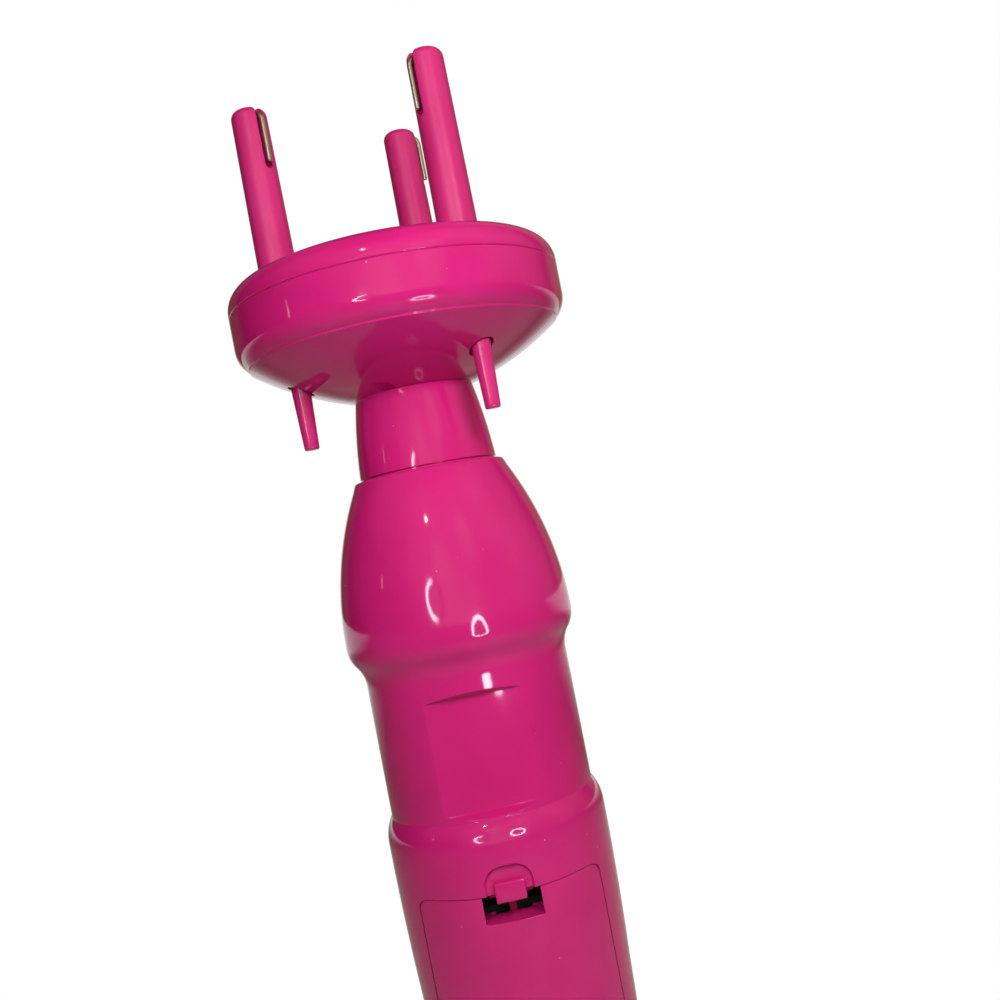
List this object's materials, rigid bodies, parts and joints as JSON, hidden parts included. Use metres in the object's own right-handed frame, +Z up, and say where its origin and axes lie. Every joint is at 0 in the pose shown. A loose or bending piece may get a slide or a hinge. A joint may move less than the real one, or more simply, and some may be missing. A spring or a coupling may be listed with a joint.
{
  "type": "automatic hair braider",
  "caption": "Battery hair braider: a bottle-shaped handle, a turning head disk on a conical neck, slotted spinning fingers with wire hooks and push pins below.",
  "frame": {"origin": "middle of the handle's flat foot", "axes": "+Z up along the handle and the head's axis, -Y towards the bare panel and the battery door"},
  "size_m": [0.08, 0.08, 0.272],
  "materials": {
    "pink_gloss": "gloss",
    "pink_satin": "satin",
    "deep_pink": "satin",
    "wire_steel": "polished",
    "steel": "zinc-plated",
    "brass": "satin",
    "acetal": "satin",
    "black_plastic": "matte",
    "cell_jacket": "satin",
    "board": "satin",
    "wire_cover": "matte"
  },
  "bodies": {
    "handle": {"front_shell": "pink_gloss", "rear_shell": "pink_gloss", "shell_screws": "steel", "door_pin": "steel", "battery_tray": "black_plastic", "battery_cells": "cell_jacket", "contact_springs": "steel", "contact_plates": "steel", "battery_leads": "wire_cover", "motor_can": "steel", "motor_end_cap": "acetal", "motor_screws": "steel", "motor_leads": "wire_cover", "gearbox_base": "acetal", "gearbox_top": "acetal", "gearbox_screws": "steel", "gear_axle": "steel", "gearbox_bush": "brass", "neck_bearing": "acetal", "clutch_spring": "steel", "circuit_board": "board", "switch_bodies": "black_plastic"},
    "door": {"battery_door": "pink_gloss", "latch_spring": "steel"},
    "latch": {"door_latch": "pink_gloss"},
    "head": {"head_base": "pink_gloss", "head_cover": "pink_gloss", "neck_sleeve": "pink_gloss", "neck_bush": "brass", "neck_screws": "steel"},
    "drive": {"drive_shaft": "steel", "sun_gear": "acetal", "shaft_clip": "steel"},
    "output": {"output_gear": "acetal"},
    "compound": {"compound_gear": "acetal"},
    "motor_rotor": {"motor_shaft": "steel", "motor_pinion": "brass"},
    "twist_key": {"twist_button": "deep_pink", "twist_nub": "acetal"},
    "braid_key": {"braid_button": "deep_pink", "braid_nub": "acetal"},
    "finger_1": {"finger_1": "pink_satin", "finger_gear_1": "acetal", "plunger_spring_1": "steel"},
    "plunger_1": {"plunger_1": "pink_satin", "hook_1": "wire_steel"},
    "finger_2": {"finger_2": "pink_satin", "finger_gear_2": "acetal", "plunger_spring_2": "steel"},
    "plunger_2": {"plunger_2": "pink_satin", "hook_2": "wire_steel"},
    "finger_3": {"finger_3": "pink_satin", "finger_gear_3": "acetal", "plunger_spring_3": "steel"},
    "plunger_3": {"plunger_3": "pink_satin", "hook_3": "wire_steel"}
  },
  "joints": [
    {"name": "head_spin", "type": "hinge", "parent": "handle", "child": "head", "pos_m": [0, 0, 0.173], "axis": [0, 0, 1], "continuous": true},
    {"name": "drive_spin", "type": "hinge", "parent": "head", "child": "drive", "pos_m": [0, 0, 0.21], "axis": [0, 0, 1], "continuous": true},
    {"name": "output_spin", "type": "hinge", "parent": "handle", "child": "output", "pos_m": [0, 0, 0.1455], "axis": [0, 0, 1], "continuous": true},
    {"name": "compound_spin", "type": "hinge", "parent": "handle", "child": "compound", "pos_m": [0, -0.0125, 0.142], "axis": [0, 0, 1], "continuous": true},
    {"name": "motor_spin", "type": "hinge", "parent": "handle", "child": "motor_rotor", "pos_m": [0, 0, 0.12], "axis": [0, 0, 1], "continuous": true},
    {"name": "finger_1_spin", "type": "hinge", "parent": "head", "child": "finger_1", "pos_m": [0.01689, -0.02042, 0.23], "axis": [0, 0, 1], "continuous": true},
    {"name": "finger_2_spin", "type": "hinge", "parent": "head", "child": "finger_2", "pos_m": [0.00924, 0.02484, 0.23], "axis": [0, 0, 1], "continuous": true},
    {"name": "finger_3_spin", "type": "hinge", "parent": "head", "child": "finger_3", "pos_m": [-0.02613, -0.00442, 0.23], "axis": [0, 0, 1], "continuous": true},
    {"name": "plunger_1_slide", "type": "slide", "parent": "finger_1", "child": "plunger_1", "axis": [0, 0, 1], "range_m": [0, 0.008], "stiffness_N_per_m": 300, "springref_m": -0.005, "deforming": ["plunger_spring_1"]},
    {"name": "plunger_2_slide", "type": "slide", "parent": "finger_2", "child": "plunger_2", "axis": [0, 0, 1], "range_m": [0, 0.008], "stiffness_N_per_m": 300, "springref_m": -0.005, "deforming": ["plunger_spring_2"]},
    {"name": "plunger_3_slide", "type": "slide", "parent": "finger_3", "child": "plunger_3", "axis": [0, 0, 1], "range_m": [0, 0.008], "stiffness_N_per_m": 300, "springref_m": -0.005, "deforming": ["plunger_spring_3"]},
    {"name": "door_hinge", "type": "hinge", "parent": "handle", "child": "door", "pos_m": [0, -0.0216, 0.0166], "axis": [1, 0, 0], "range_deg": [0, 85]},
    {"name": "latch_slide", "type": "slide", "parent": "door", "child": "latch", "axis": [0, 0, -1], "range_m": [0, 0.0022], "stiffness_N_per_m": 400, "springref_m": -0.002, "deforming": ["latch_spring"]},
    {"name": "twist_press", "type": "slide", "parent": "handle", "child": "twist_key", "axis": [0, -1, 0], "range_m": [0, 0.001], "stiffness_N_per_m": 800, "springref_m": -0.0015},
    {"name": "braid_press", "type": "slide", "parent": "handle", "child": "braid_key", "axis": [0, -1, 0], "range_m": [0, 0.001], "stiffness_N_per_m": 800, "springref_m": -0.0015}
  ],
  "couplings": [
    {"joint": "output_spin", "follows": "drive_spin", "ratio": 1},
    {"joint": "compound_spin", "follows": "drive_spin", "ratio": -4},
    {"joint": "motor_spin", "follows": "drive_spin", "ratio": 16},
    {"joint": "finger_1_spin", "follows": "drive_spin", "ratio": -2.1176},
    {"joint": "finger_2_spin", "follows": "drive_spin", "ratio": -2.1176},
    {"joint": "finger_3_spin", "follows": "drive_spin", "ratio": -2.1176}
  ]
}
